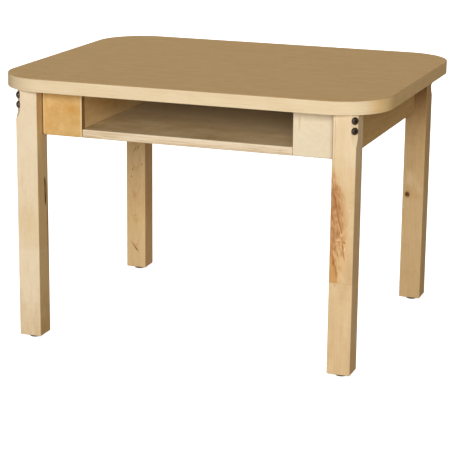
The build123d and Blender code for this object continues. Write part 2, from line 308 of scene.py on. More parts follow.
class Board:
    """The wood of one board: its tone, relief and the colour made from them."""

    def __init__(self, graph, node, grain):
        self.graph = g = graph
        self.grain = grain
        self.low, self.high = (corner * TO_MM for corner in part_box(node))
        centred = g.vector("SUBTRACT", g.place, tuple((self.low + self.high) / 2))
        parts = g.split(centred)
        across_u, across_v, along = (parts[i] for i in ORDER[grain.along])
        if grain.joint is not None:
            below = g.math("LESS_THAN", g.split(g.place)[2], grain.joint)
            across_u = g.total(across_u, g.gain(below, JOINT_SHIFT_ACROSS))
            along = g.total(along, g.gain(below, JOINT_SHIFT_ALONG))
        space = g.join(across_u, across_v, along)
        seeded = g.vector("ADD", space, tuple(grain.seed * step for step in SEED_STEP))
        wander = g.noise(seeded, (0.012, 0.012, 0.0045), detail=2.0, output=NOISE_COLOUR)
        wander = g.vector("SCALE", g.vector("SUBTRACT", wander, (0.5, 0.5, 0.5)), factor=14.0)
        bent = g.vector("ADD", seeded, wander)
        rings = self.ring_lines(g.vector("ADD", space, wander))
        self.fibre = g.noise(bent, (0.75, 0.75, 0.018), shift=1.0, detail=3.0)
        self.fine = g.noise(bent, (3.2, 3.2, 0.09), shift=2.0, detail=2.0)
        self.fleck = g.rise(g.noise(bent, (1.25, 1.25, 0.12), shift=3.0, detail=1.0), 0.6, 0.74)
        curl = g.noise(bent, (0.035, 0.035, 0.16), shift=4.0, detail=2.0)
        cloud = g.noise(bent, (0.11, 0.11, 0.035), shift=6.0, detail=3.0, rough=0.55)
        mottle = g.noise(seeded, (0.045, 0.045, 0.011), shift=5.0, detail=3.0)
        middle_tone = 0.5
        if grain.grade is not None:
            middle_tone = g.profile(g.split(g.place)[2], *grain.grade)
        self.tone = g.total(
            middle_tone,
            g.gain(rings, grain.ring_depth, -0.3 * grain.ring_depth),
            g.gain(self.fibre, grain.fibre_depth, -0.5 * grain.fibre_depth),
            g.gain(self.fine, grain.fine_depth, -0.5 * grain.fine_depth),
            g.gain(self.fleck, grain.fleck_depth, -0.15 * grain.fleck_depth),
            g.gain(curl, grain.curl_depth, -0.5 * grain.curl_depth),
            g.gain(cloud, grain.cloud_depth, -0.5 * grain.cloud_depth),
            g.gain(mottle, grain.mottle_depth, -0.5 * grain.mottle_depth),
        )
        if grain.joint is not None:
            height = g.split(g.place)[2]
            glue_line = g.rise(g.math("ABSOLUTE", g.math("SUBTRACT", height, grain.joint)), 0.5, 0.1)
            self.tone = g.total(self.tone, g.gain(glue_line, 0.25))
        self.relief = g.total(
            g.gain(self.fine, -0.5),
            g.gain(self.fibre, -0.35),
            g.gain(rings, -0.15),
            g.gain(self.fleck, -0.25),
        )
        endways = g.math("ABSOLUTE", g.split(g.facing)["XYZ".index(grain.along)])
        self.end = g.rise(endways, 0.55, 0.8)
        self.wear_and_highlight = g.edges(self.low, self.high, 1.6)

    def ring_lines(self, space):
        """The growth rings that the board's faces cut through: 1 on a ring's dark late wood."""
        g, grain = self.graph, self.grain
        along = g.split(space)[2]
        off = g.vector("ADD", space, (grain.heart[0], grain.heart[1], 0.0))
        tilt = g.join(g.gain(along, grain.lean[0]), g.gain(along, grain.lean[1]),
                      g.gain(along, -1.0))
        radius = g.vector("LENGTH", g.vector("ADD", off, tilt))
        uneven = g.noise(g.join(g.gain(radius, 0.11), grain.seed, 0.0), detail=2.0)
        count = g.total(g.gain(radius, 1.0 / grain.ring), g.gain(uneven, 2.4))
        part = g.math("FRACT", count)
        return g.math("MULTIPLY", g.rise(part, grain.ring_start, 0.88), g.rise(part, 1.0, 0.9))

    def colour(self):
        g, grain = self.graph, self.grain
        colour = g.ramp(self.tone, (0.0, linear(*grain.pale)), (0.5, linear(*grain.middle)),
                        (1.0, linear(*grain.dark)))
        end_colour = g.blend(1.0, colour, linear(*END_GRAIN_TINT), "MULTIPLY")
        colour = g.blend(self.end, colour, end_colour)
        # Paler edges: wear, and a painted highlight along them
        colour = g.blend(g.gain(self.wear_and_highlight, EDGE_WEAR_AND_HIGHLIGHT), colour, linear(*grain.pale))
        return paint_side_shade(g, colour, grain.side_shade_tint)

    def finished(self, colour=None, relief=None):
        g = self.graph
        rough = g.total(WOOD_ROUGHNESS, g.gain(self.fibre, 0.10, -0.05), g.gain(self.fleck, 0.06),
                        g.gain(self.wear_and_highlight, -0.06), g.gain(self.end, 0.12))
        return g.finish(colour or self.colour(), rough, relief or self.relief, WOOD_RELIEF,
                        specular_ior_level=WOOD_GLOSS)


def paint_side_shade(g, colour, side_shade_tint):
    """Paints shade on the faces that look along X, by multiplying their colour by the given tint."""
    sideways = g.rise(g.math("ABSOLUTE", g.split(g.facing)[0]), 0.62, 0.9)
    return g.blend(sideways, colour, g.blend(1.0, colour, side_shade_tint, "MULTIPLY"))


def dress(node, material):
    """Gives a CAD node its finish in every one of its material slots."""
    for slot in nodes[node].material_slots:
        slot.material = material


# Wood tones, as screen colours
LEG_CREAM = Grain(pale=(241, 226, 199), middle=(232, 212, 180), dark=(209, 180, 138))
LEG_TAN = Grain(pale=(239, 211, 165), middle=(229, 195, 143), dark=(201, 158, 106))
PANEL_GOLD = Grain(pale=(232, 200, 144), middle=(215, 175, 112), dark=(194, 148, 84), along="X")
PANEL_CREAM = Grain(pale=(241, 231, 207), middle=(232, 217, 188), dark=(216, 196, 160), along="X")
RAIL = Grain(pale=(232, 208, 164), middle=(219, 189, 139), dark=(188, 151, 101), along="Y")
PLY = Grain(pale=(228, 205, 165), middle=(211, 183, 139), dark=(180, 147, 102), along="Y")


def paint_marks(g, colour, marks, plane, reach, ragged):
    """Blends marks into a colour, on the faces within reach of a plane across Y.

    Each mark is x, z, half its length, half its width, its turn in degrees, its share of the
    blend and its screen colour.
    """
    for x, z, length, width, turn, share, tint in marks:
        mark = g.near((x, plane, z), (length, reach, width), ragged, soft=0.8, turn=turn, shift=z)
        colour = g.blend(g.gain(mark, share), colour, linear(*tint))
    return colour


def rail_shade(g, colour, where):
    """Painted shade: a darker line in the crevice between a leg and a rail, above the rail's lower edge.
    """
    height = g.split(g.place)[2]
    beside = g.math("MULTIPLY", where, g.rise(height, RAIL_SHADE_START, RAIL_SHADE_FULL))
    return g.blend(g.gain(beside, 0.75), colour, linear(138, 98, 52))


FRONT_LEFT_GRADE = (
    (7.0, 0.8), (60.0, 0.68), (110.0, 0.5), (181.0, 0.36), (183.0, 0.54), (250.0, 0.52),
    (310.0, 0.46), (400.0, 0.36), (494.0, 0.42))


def front_left_leg():
    """Its inner face has a streak of bark with two dark splits, in a long brown trail."""
    g = Graph("leg_hardwood_front_left")
    board = Board(g, "leg_front_left", replace(
        LEG_CREAM, seed=1.0, heart=(260.0, 20.0), ring_depth=0.05, fleck_depth=0.3,
        mottle_depth=0.4, joint=LEG_JOINT_HEIGHT, side_shade_tint=FRONT_LEFT_SIDE_SHADE,
        grade=FRONT_LEFT_GRADE))
    _, y, z = g.split(g.place)
    inner = g.rise(g.split(g.facing)[0], 0.6, 0.9)
    bark = g.near((-LEG_INNER_X, -253.5, 293.0), (6.0, 7.0, 33.0), shift=2.0)
    split = g.near((-LEG_INNER_X, -256.5, 312.0), (6.0, 3.4, 15.0), ragged=0.5, shift=8.0)
    lower_split = g.near((-LEG_INNER_X, -254.5, 276.0), (6.0, 3.4, 17.0), ragged=0.5, shift=9.0)
    trail = g.near((-LEG_INNER_X, -242.5, 225.0), (5.0, 10.0, 130.0), ragged=0.2, soft=0.8, shift=3.0)
    honey = g.near((-312.0, FRONT_LEG_Y, 232.0), (34.0, 16.0, 62.0), ragged=0.35, soft=0.9, shift=5.0)
    honey = g.math("MULTIPLY", honey, g.math("GREATER_THAN", z, LEG_JOINT_HEIGHT))
    amber = g.near((-326.0, FRONT_LEG_Y, 318.0), (8.0, 14.0, 22.0), ragged=0.4, soft=0.9, shift=6.0)
    colour = g.blend(g.gain(honey, 0.5), board.colour(), linear(226, 198, 150))
    colour = g.blend(g.gain(amber, 0.3), colour, linear(226, 192, 138))
    colour = g.blend(g.gain(trail, 0.8), colour, linear(160, 104, 40))
    colour = g.blend(g.gain(bark, 0.75), colour, linear(156, 92, 28))
    colour = g.blend(g.gain(split, 0.9), colour, linear(92, 44, 4))
    colour = g.blend(g.gain(lower_split, 0.9), colour, linear(98, 48, 6))
    # Painted shade on the inner face, deepening up towards the rail and the top
    painted_shade_near_rail = g.gain(g.math("MULTIPLY", inner, g.rise(z, 380.0, 440.0)), 0.3)
    colour = g.blend(painted_shade_near_rail, colour, linear(156, 122, 68))
    colour = rail_shade(g, colour, g.math("MULTIPLY", inner, g.rise(y, -266.0, -261.0)))
    relief = g.total(board.relief, g.gain(bark, -2.0))
    dress("leg_front_left", board.finished(colour, relief))


FRONT_RIGHT_GRADE = (
    (7.0, 0.64), (181.0, 0.56), (183.0, 0.66), (300.0, 0.56), (380.0, 0.46), (430.0, 0.2),
    (494.0, 0.14))

# The plume on the front right leg: at some heights, how far it reaches from the leg's inner edge,
# how strong it is, and how far in the dark vein along its spine lies
PLUME_REACH = (
    (182.0, 26.0), (205.0, 33.0), (224.0, 38.0), (245.0, 40.0), (262.0, 40.0), (300.0, 36.0),
    (345.0, 31.0), (362.0, 24.0), (378.0, 13.0), (400.0, 6.0), (412.0, 0.0))
PLUME_WEIGHT = (
    (182.0, 0.3), (224.0, 0.4), (250.0, 0.44), (275.0, 0.6), (330.0, 0.64), (360.0, 0.52),
    (390.0, 0.3), (412.0, 0.1))
PLUME_SPINE = (
    (222.0, 30.0), (245.0, 25.0), (262.0, 24.0), (277.0, 22.6), (296.0, 17.0), (335.0, 9.0),
    (352.0, 6.5))

# The patch in the plume's foot, with a dark rim: where it ends and starts from the inner edge
HEART_END = (
    (182.0, 17.8), (200.0, 16.5), (212.0, 14.0), (222.0, 11.5), (230.0, 9.5), (240.0, 6.0))
HEART_START = ((182.0, 0.0), (212.0, 0.0), (222.0, 1.5), (236.0, 5.0), (240.0, 6.0))

FRONT_RIGHT_MARKS = (
    (299.6, 220.0, 8.5, 3.8, 90.0, 0.65, (156, 100, 54)),
    (299.4, 228.0, 8.0, 2.0, -75.0, 0.4, (170, 116, 68)),
    (303.5, 232.0, 9.0, 2.6, -62.0, 0.5, (232, 200, 152)),
    (318.0, 193.0, 16.0, 2.6, -62.0, 0.5, (234, 204, 158)),
    (311.0, 212.5, 9.5, 1.9, -62.0, 0.6, (194, 144, 88)),
    (318.4, 234.5, 12.5, 1.8, -70.0, 0.7, (184, 128, 68)),
    (302.0, 292.0, 11.0, 6.0, 90.0, 0.35, (174, 122, 76)),
    (314.0, 308.0, 22.0, 2.0, 88.0, 0.45, (188, 132, 76)),
    (308.5, 352.0, 16.0, 1.8, 84.0, 0.5, (190, 138, 82)),
    (299.5, 314.7, 4.5, 2.2, -80.0, 0.5, (226, 184, 142)),
    (316.0, 262.0, 13.0, 6.5, -80.0, 0.5, (206, 156, 102)),
    (313.6, 273.0, 7.0, 1.9, -70.0, 0.9, (244, 208, 158)),
    (317.2, 275.8, 6.0, 1.4, 58.0, 0.85, (240, 204, 154)),
    (308.5, 263.5, 6.5, 2.4, 8.0, 0.8, (240, 206, 158)),
    (307.0, 256.0, 8.0, 4.0, 10.0, 0.45, (228, 184, 126)),
    (319.5, 260.0, 4.6, 1.9, -35.0, 0.85, (150, 92, 42)),
    (317.0, 250.5, 6.5, 1.5, -75.0, 0.85, (156, 98, 46)),
    (320.4, 247.0, 5.4, 1.8, 78.0, 0.9, (246, 212, 164)),
    (303.6, 178.6, 4.5, 3.4, 90.0, 0.5, (198, 148, 92)),
    (328.7, 320.0, 3.8, 2.4, 90.0, 0.55, (244, 224, 190)))


def front_right_leg():
    """Its upper length looks cut below a fork of the tree: a reddish plume runs down its left side."""
    g = Graph("leg_hardwood_front_right")
    board = Board(g, "leg_front_right", replace(
        LEG_TAN, pale=(238, 218, 184), middle=(225, 197, 153), dark=(200, 161, 112),
        seed=2.0, ring=6.0, heart=(-190.0, 35.0), ring_depth=0.05, joint=LEG_JOINT_HEIGHT,
        side_shade_tint=FRONT_RIGHT_SIDE_SHADE, grade=FRONT_RIGHT_GRADE))
    x, y, z = g.split(g.place)
    above = g.math("GREATER_THAN", z, LEG_JOINT_HEIGHT)
    shown = g.math("MULTIPLY", above, g.rise(y, -256.0, -272.0))
    across = g.total(x, -LEG_INNER_X)
    warp = g.noise(g.place, (0.1, 0.1, 0.05), shift=7.0, detail=3.0, output=NOISE_COLOUR)
    warp_x, _, _ = g.split(g.vector("SUBTRACT", warp, (0.5, 0.5, 0.5)))

    reach = g.profile(z, *PLUME_REACH)
    depth_in = g.total(reach, g.gain(warp_x, 12.0), g.gain(across, -1.0))
    plume = g.math("MULTIPLY", shown, g.rise(depth_in, -2.0, 14.0))
    weight = g.profile(z, *PLUME_WEIGHT)
    lean = g.total(across, g.gain(z, 0.15, -45.0), g.gain(warp_x, 14.0))
    strand_place = g.join(g.gain(lean, 0.3), 3.0, g.gain(z, 0.04))
    strands = g.noise(strand_place, shift=8.0, detail=4.0, rough=0.62)
    clouds = g.noise(g.place, (0.14, 0.14, 0.09), shift=9.0, detail=3.0)
    strength = g.total(weight, g.gain(strands, 1.3, -0.65), g.gain(clouds, 1.1, -0.55),
                       g.gain(across, -0.014, 0.16))
    figure = g.ramp(strength, (0.1, linear(226, 189, 139)), (0.36, linear(213, 170, 119)),
                    (0.62, linear(194, 142, 94)), (0.95, linear(158, 104, 62)))
    colour = g.blend(g.gain(plume, 0.92), board.colour(), figure)

    spine = g.profile(z, *PLUME_SPINE)
    off_spine = g.math("ABSOLUTE", g.total(across, g.gain(spine, -1.0), g.gain(warp_x, 3.0)))
    fade = g.math("MULTIPLY", g.rise(z, 222.0, 240.0), g.rise(z, 352.0, 335.0))
    vein = g.math("MULTIPLY", g.math("MULTIPLY", shown, fade), g.rise(off_spine, 2.0, 0.4))
    colour = g.blend(g.gain(vein, 0.6), colour, linear(158, 96, 44))

    heart_end = g.profile(z, *HEART_END)
    heart_start = g.profile(z, *HEART_START)
    heart_in = g.total(heart_end, g.gain(warp_x, 3.0), g.gain(across, -1.0))
    from_left = g.total(across, g.gain(heart_start, -1.0), 1.5)
    heart = g.math("MULTIPLY", shown, g.rise(g.math("MINIMUM", heart_in, from_left), -0.3, 2.2))
    rim = g.math("MULTIPLY", heart, g.rise(heart_in, 7.0, 1.0))
    rim = g.math("MULTIPLY", rim, g.rise(z, 186.0, 200.0))
    colour = g.blend(g.gain(heart, 0.8), colour, linear(204, 156, 98))
    colour = g.blend(g.gain(rim, 0.8), colour, linear(172, 114, 54))

    colour = paint_marks(g, colour, FRONT_RIGHT_MARKS, FRONT_LEG_Y, reach=14.0, ragged=0.25)
    colour = rail_shade(g, colour, g.rise(x, 294.2, 292.4))
    relief = g.total(board.relief, g.gain(vein, -0.4))
    dress("leg_front_right", board.finished(colour, relief))


BACK_LEFT_GRADE = (
    (7.0, 0.38), (60.0, 0.4), (150.0, 0.58), (200.0, 0.5), (250.0, 0.36), (300.0, 0.5),
    (494.0, 0.55))
BACK_LEFT_LOOP_STEP = 58.0

BACK_LEFT_MARKS = (
    (-315.4, 277.0, 13.0, 1.3, 61.0, 0.75, (132, 84, 38)),
    (-308.2, 281.0, 11.0, 1.4, 62.0, 0.8, (128, 80, 34)),
    (-322.0, 264.0, 14.0, 0.9, 70.0, 0.3, (156, 114, 70)),
    (-305.0, 258.0, 12.0, 1.4, 72.0, 0.25, (170, 124, 76)),
    (-316.5, 172.0, 13.0, 3.4, 88.0, 0.3, (208, 150, 94)),
    (-315.5, 126.0, 8.0, 5.0, 20.0, 0.35, (206, 148, 90)),
    (-321.7, 230.0, 3.0, 1.9, 90.0, 0.85, (98, 52, 16)),
    (-324.7, 214.0, 2.6, 1.7, 90.0, 0.8, (104, 58, 20)),
    (-300.0, 243.0, 4.0, 1.8, 64.0, 0.6, (128, 78, 34)),
    (-317.7, 54.9, 23.5, 1.5, -48.0, 0.8, (150, 84, 24)),
    (-313.2, 48.8, 8.5, 1.5, -48.0, 0.95, (84, 40, 6)))


def back_left_leg():
    """Its front face has loops of grain up its middle, short dark flecks and a long scratch."""
    g = Graph("leg_hardwood_back_left")
    board = Board(g, "leg_back_left", replace(
        LEG_TAN, seed=3.0, ring=6.0, heart=(120.0, 60.0), ring_depth=0.05, cloud_depth=0.35,
        mottle_depth=0.3, side_shade_tint=BACK_LEFT_SIDE_SHADE, grade=BACK_LEFT_GRADE))
    x, _, z = g.split(g.place)
    front = g.rise(g.split(g.facing)[1], -0.6, -0.9)
    sway = g.noise(g.place, (0.05, 0.05, 0.012), shift=2.0, detail=2.0)
    beside = g.total(x, 314.5, g.gain(sway, 10.0, -5.0))
    climb = g.total(z, g.gain(g.math("MULTIPLY", beside, beside), -0.2), g.gain(sway, 16.0))
    part = g.math("FRACT", g.gain(climb, 1.0 / BACK_LEFT_LOOP_STEP, 0.78))
    loops = g.math("MULTIPLY", g.rise(part, 0.62, 0.94), g.rise(part, 1.0, 0.95))
    in_middle = g.math("MULTIPLY", front, g.rise(g.math("ABSOLUTE", beside), 16.0, 3.0))
    loops = g.math("MULTIPLY", loops, in_middle)
    colour = g.blend(g.gain(loops, 0.3), board.colour(), linear(204, 146, 88))
    colour = paint_marks(g, colour, BACK_LEFT_MARKS, BACK_LEG_Y, reach=5.0, ragged=0.08)
    dress("leg_back_left", board.finished(colour))


BACK_RIGHT_GRADE = (
    (7.0, 0.5), (60.0, 0.52), (150.0, 0.4), (240.0, 0.48), (300.0, 0.55), (370.0, 0.66),
    (494.0, 0.6))

BACK_RIGHT_CLOUDS = (
    (308.0, 266.0, 26.0, 17.0, 100.0, 0.32, (240, 216, 176)),
    (324.0, 250.0, 22.0, 9.0, 118.0, 0.2, (238, 212, 170)),
    (306.0, 233.0, 22.0, 15.0, 90.0, 0.35, (198, 150, 96)),
    (320.0, 227.0, 15.0, 9.0, 5.0, 0.45, (212, 158, 104)))
BACK_RIGHT_KNOT = ((302.3, 230.7, 9.6, 7.6, 90.0, 0.95, (104, 58, 22)),)
BACK_RIGHT_KNOT_MARKS = (
    (300.0, 232.0, 6.0, 2.2, 75.0, 0.7, (56, 30, 10)),
    (304.6, 230.0, 5.6, 2.0, 105.0, 0.7, (60, 34, 12)),
    (302.0, 229.8, 3.0, 1.6, 90.0, 0.6, (156, 112, 66)),
    (296.0, 203.0, 3.0, 1.6, 90.0, 0.6, (250, 234, 204)))


def back_right_leg():
    """Its front face has a dark knot in clouded grain, and a deep shade under the top."""
    g = Graph("leg_hardwood_back_right")
    board = Board(g, "leg_back_right", replace(
        LEG_TAN, pale=(226, 198, 154), middle=(212, 180, 132), dark=(184, 146, 97), seed=4.0,
        ring=7.0, heart=(70.0, 60.0), lean=(0.05, 0.05), ring_depth=0.04, mottle_depth=0.3,
        side_shade_tint=BACK_RIGHT_SIDE_SHADE, grade=BACK_RIGHT_GRADE))
    z = g.split(g.place)[2]
    front = g.rise(g.split(g.facing)[1], -0.6, -0.9)
    shade = g.math("MULTIPLY", front, g.rise(z, 340.0, 466.0))
    colour = g.blend(g.gain(shade, 0.8), board.colour(), linear(116, 76, 34))
    colour = paint_marks(g, colour, BACK_RIGHT_CLOUDS, BACK_LEG_Y, reach=16.0, ragged=0.4)
    colour = paint_marks(g, colour, BACK_RIGHT_KNOT, BACK_LEG_Y, reach=16.0, ragged=0.15)
    colour = paint_marks(g, colour, BACK_RIGHT_KNOT_MARKS, BACK_LEG_Y, reach=16.0, ragged=0.2)
    dress("leg_back_right", board.finished(colour))


def side_aprons_and_back():
    for number, node in enumerate(("side_apron_left", "side_apron_right")):
        board = Board(Graph("rail_birch_" + node), node, replace(
            RAIL, seed=5.0 + number, ring=9.0, heart=(55.0, 130.0), lean=(0.02, 0.04), ring_depth=0.08))
        dress(node, board.finished())
    board = Board(Graph("rail_birch_back_apron"), "back_apron", replace(
        RAIL, along="X", seed=7.5, ring=7.0, heart=(60.0, 120.0), lean=(0.03, 0.05)))
    dress("back_apron", board.finished())


# The left panel's darker and paler patches: x and z, half their width and height, their share
# of the blend and their screen colour
PANEL_SPOTS = (
    ((-233.0, 459.0), (24.0, 17.0), 0.6, (206, 150, 74)),
    ((-228.0, 436.0), (11.0, 10.0), 0.35, (206, 152, 80)),
    ((-263.0, 421.0), (9.0, 9.0), 0.35, (206, 156, 88)),
    ((-262.0, 448.0), (11.0, 12.0), 0.25, (206, 158, 92)),
    ((-252.0, 421.0), (9.0, 17.0), 0.2, (238, 210, 158)),
    ((-277.0, 470.0), (9.0, 18.0), 0.35, (236, 206, 150)),
    ((-267.5, 476.0), (1.6, 5.5), 0.5, (176, 130, 70)))


def front_panel_left():
    g = Graph("panel_figured_left")
    board = Board(g, "front_panel_left", replace(
        PANEL_GOLD, seed=8.0, ring=30.0, ring_depth=0.0, fibre_depth=0.05, fine_depth=0.05,
        fleck_depth=0.05, curl_depth=0.0, cloud_depth=0.0, mottle_depth=0.15))
    x, y, _ = g.split(g.place)
    patches = g.noise(g.place, (0.06, 0.06, 0.06), shift=3.0, detail=2.0)
    dapple = g.noise(g.place, (0.17, 0.17, 0.17), shift=4.0, detail=3.0, rough=0.55)
    grit = g.noise(g.place, (0.7, 0.7, 0.7), shift=5.0, detail=2.0)
    board.tone = g.total(board.tone, g.gain(patches, 0.6, -0.3), g.gain(dapple, 0.45, -0.22),
                         g.gain(grit, 0.25, -0.12))
    colour = board.colour()
    for place, radii, share, tint in PANEL_SPOTS:
        spot = g.near((place[0], PANEL_Y, place[1]), (radii[0], 20.0, radii[1]),
                      ragged=0.4, soft=0.95, shift=share * 9)
        colour = g.blend(g.gain(spot, share), colour, linear(*tint))
    # Painted highlights: both side edges of the panel are paler, where their rounding catches light
    rims = g.math("MAXIMUM", g.rise(x, -213.6, -212.2), g.rise(x, -287.6, -289.4))
    colour = g.blend(g.gain(rims, 0.45), colour, linear(246, 226, 186))
    # Painted shade: a dark line in the gap beside the leg
    painted_shade_by_leg = g.rise(x, -290.6, -291.4)
    colour = g.blend(painted_shade_by_leg, colour, linear(140, 98, 50))
    # The right end face: end grain, darkened further with painted shade, deepest in a line at its front
    shaded_end_face = g.rise(x, -210.4, -209.8)
    painted_end_shade = g.blend(g.rise(y, -259.5, -256.0), linear(96, 66, 34), linear(158, 124, 76))
    colour = g.blend(shaded_end_face, colour, painted_end_shade)
    dress("front_panel_left", board.finished(colour))


def front_panel_right():
    g = Graph("rail_birch_front_right")
    board = Board(g, "front_panel_right", replace(
        PANEL_CREAM, seed=9.0, ring=13.0, ring_start=0.72, heart=(35.0, 34.0), lean=(0.12, 0.5),
        ring_depth=0.08, fibre_depth=0.06, fine_depth=0.06, curl_depth=0.0, cloud_depth=0.3,
        mottle_depth=0.2))
    x = g.split(g.place)[0]
    streak = g.near((222.5, PANEL_Y, 470.0), (2.6, 12.0, 26.0), soft=0.9)
    dapple = g.noise(g.place, (0.12, 0.12, 0.12), shift=4.0, detail=3.0)
    board.tone = g.total(board.tone, g.gain(dapple, 0.4, -0.2))
    colour = g.blend(g.gain(streak, 0.5), board.colour(), linear(208, 172, 124))
    # Painted highlight: the panel's left edge is paler, where its rounding catches light
    rim = g.rise(x, 213.0, 211.4)
    colour = g.blend(g.gain(rim, 0.4), colour, linear(248, 236, 210))
    dress("front_panel_right", board.finished(colour))


# The thickness of two crossed layers of the box's plywood
PLY_PAIR = 2.3

BOX_WALL_GRADE = (
    (405.0, 0.1), (424.0, 0.12), (440.0, 0.4), (458.0, 0.6), (476.0, 0.4), (494.0, 0.0))


def box_walls():
    for number, node in enumerate(("box_wall_left", "box_wall_right")):
        g = Graph("box_plywood_" + node)
        board = Board(g, node, replace(
            PLY, pale=(240, 220, 180), middle=(220, 194, 146), dark=(184, 154, 106),
            seed=10.0 + number, ring=16.0, heart=(20.0, 210.0), ring_depth=0.04,
            fibre_depth=0.06, fine_depth=0.06, cloud_depth=0.5, mottle_depth=0.6,
            grade=BOX_WALL_GRADE))
        z = g.split(g.place)[2]
        broken = g.rise(g.noise(g.place, (0.1, 0.1, 0.1), shift=6.0, detail=3.0), 0.3, 0.5)
        seam = g.math("MULTIPLY", g.rise(z, SHELF_TOP + 1.3, SHELF_TOP + 0.3), broken)
        colour = g.blend(g.gain(seam, 0.55), plies(board), linear(118, 86, 50))
        dress(node, board.finished(colour))


# Painted light: how deep the shelf's tone is from its front edge to its back. It pales inwards, where
# little light gets
SHELF_PAINTED_LIGHT = (
    (-260.0, 0.98), (-140.0, 1.0), (-85.0, 0.7), (-40.0, 0.3), (0.0, 0.2), (247.0, 0.2))

# Dark eyes in the shelf's front edge: x and z, half their length and height
SHELF_EYES = ((190.0, 409.6, 17.0, 1.5), (203.0, 409.2, 9.0, 1.2), (186.0, 414.2, 4.0, 1.1))


def book_shelf():
    g = Graph("box_plywood_shelf")
    board = Board(g, "book_shelf", replace(
        PLY, pale=(230, 213, 178), middle=(208, 187, 146), dark=(176, 151, 108), seed=12.0,
        ring=30.0, heart=(220.0, 30.0), ring_depth=0.04, fibre_depth=0.08, fine_depth=0.08,
        cloud_depth=0.3, mottle_depth=0.2))
    x, y, z = g.split(g.place)
    patches = g.noise(g.place, (0.012, 0.022, 0.02), shift=4.0, detail=3.0)
    # Painted light: the shelf's tone pales inwards, where the shade is deep
    depth = g.profile(y, *SHELF_PAINTED_LIGHT)
    board.tone = g.total(board.tone, g.gain(patches, 1.1, -0.55), g.gain(x, -0.001),
                         g.gain(depth, 1.0, -1.0))
    wave = g.noise(g.join(g.gain(x, 0.012), 0.0, g.gain(z, 0.1)), shift=2.0)
    level = g.total(z, g.gain(wave, 9.0))
    streak_place = g.join(g.gain(x, 0.014), 0.0, g.gain(level, 0.42))
    streak = g.noise(streak_place, shift=3.0, detail=3.0, rough=0.6)
    # Painted shade: the lower part of the front edge is a little darker
    painted_shade_low = g.gain(g.rise(z, 412.0, 405.6), 0.06)
    nosing = g.ramp(g.total(streak, painted_shade_low), (0.34, linear(238, 223, 196)),
                    (0.52, linear(228, 208, 178)), (0.68, linear(206, 180, 144)))
    # Painted highlight: the upper rim of the front edge is paler
    painted_highlight_rim = g.rise(z, SHELF_TOP - 3.0, SHELF_TOP - 1.4)
    nosing = g.blend(g.gain(painted_highlight_rim, 0.6), nosing, linear(246, 232, 204))
    for x0, z0, length, height in SHELF_EYES:
        eye = g.near((x0, PANEL_Y, z0), (length, 8.0, height), ragged=0.2, soft=0.8)
        nosing = g.blend(g.gain(eye, 0.6), nosing, linear(184, 148, 100))
    front = g.rise(y, -256.5, -257.5)
    colour = g.blend(front, board.colour(), nosing)
    # Painted shadow: a dark line at the left end of the front edge, in the gap beside the panel
    painted_shadow_gap = g.math("MULTIPLY", front, g.rise(x, -207.4, -208.6))
    colour = g.blend(g.gain(painted_shadow_gap, 0.75), colour, linear(112, 80, 44))
    corner = g.rise(g.math("ABSOLUTE", x), 208.0, 209.3)
    chips = g.rise(g.noise(g.place, (0.3, 0.3, 0.3), shift=6.0, detail=3.0), 0.3, 0.5)
    top_face = g.rise(g.split(g.facing)[2], 0.5, 0.8)
    gap = g.math("MULTIPLY", top_face, g.math("MULTIPLY", corner, chips))
    colour = g.blend(g.gain(gap, 0.45), colour, linear(120, 90, 54))
    dress("book_shelf", board.finished(colour))


def plies(board):
    """The colour of an upright plywood wall: face veneer, and on its edges the layers across X."""
    g = board.graph
    layer = g.math("FRACT", g.gain(g.split(g.place)[0], 1.0 / PLY_PAIR))
    crossed = g.rise(g.math("PINGPONG", layer, 0.5), 0.2, 0.3)
    edge = g.rise(g.math("ABSOLUTE", g.split(g.facing)[0]), 0.8, 0.5)
    layers = g.ramp(g.total(g.gain(crossed, 0.6), g.gain(board.fine, 0.4)),
                    (0.0, linear(226, 200, 156)), (1.0, linear(170, 128, 84)))
    return g.blend(edge, board.colour(), layers)


def hidden_wood():
    for number, node in enumerate(sorted(n for n in nodes if n.startswith("corner_block"))):
        board = Board(Graph("block_hardwood_" + node), node, replace(
            LEG_TAN, seed=14.0 + number, ring=4.0, ring_depth=0.2, heart=(50.0, 40.0)))
        dress(node, board.finished())

    g = Graph("core_board")
    chip = g.noise(g.place, (0.9, 0.9, 1.6), detail=4.0, rough=0.7)
    coarse = g.noise(g.place, (0.35, 0.35, 0.7), shift=2.0, detail=2.0)
    tone = g.total(g.gain(chip, 0.7), g.gain(coarse, 0.4), -0.05)
    colour = g.ramp(tone, (0.25, linear(214, 184, 138)), (0.5, linear(186, 150, 104)),
                    (0.8, linear(128, 94, 58)))
    dress("top_core", g.finish(colour, g.gain(chip, 0.2, 0.7), chip, 0.3, specular_ior_level=0.2))

    g = Graph("backer_sheet")
    fibres = g.noise(g.place, (0.5, 2.2, 1.0), detail=4.0, rough=0.6)
    cloud = g.noise(g.place, (0.02, 0.03, 0.02), shift=3.0, detail=3.0)
    colour = g.ramp(g.total(g.gain(fibres, 0.5), g.gain(cloud, 0.5)), (0.3, linear(238, 218, 182)),
                    (0.5, linear(228, 204, 164)), (0.75, linear(208, 181, 138)))
    rough = g.gain(fibres, 0.2, 0.5)
    dress("top_backer", g.finish(colour, rough, fibres, 0.05, specular_ior_level=0.3))


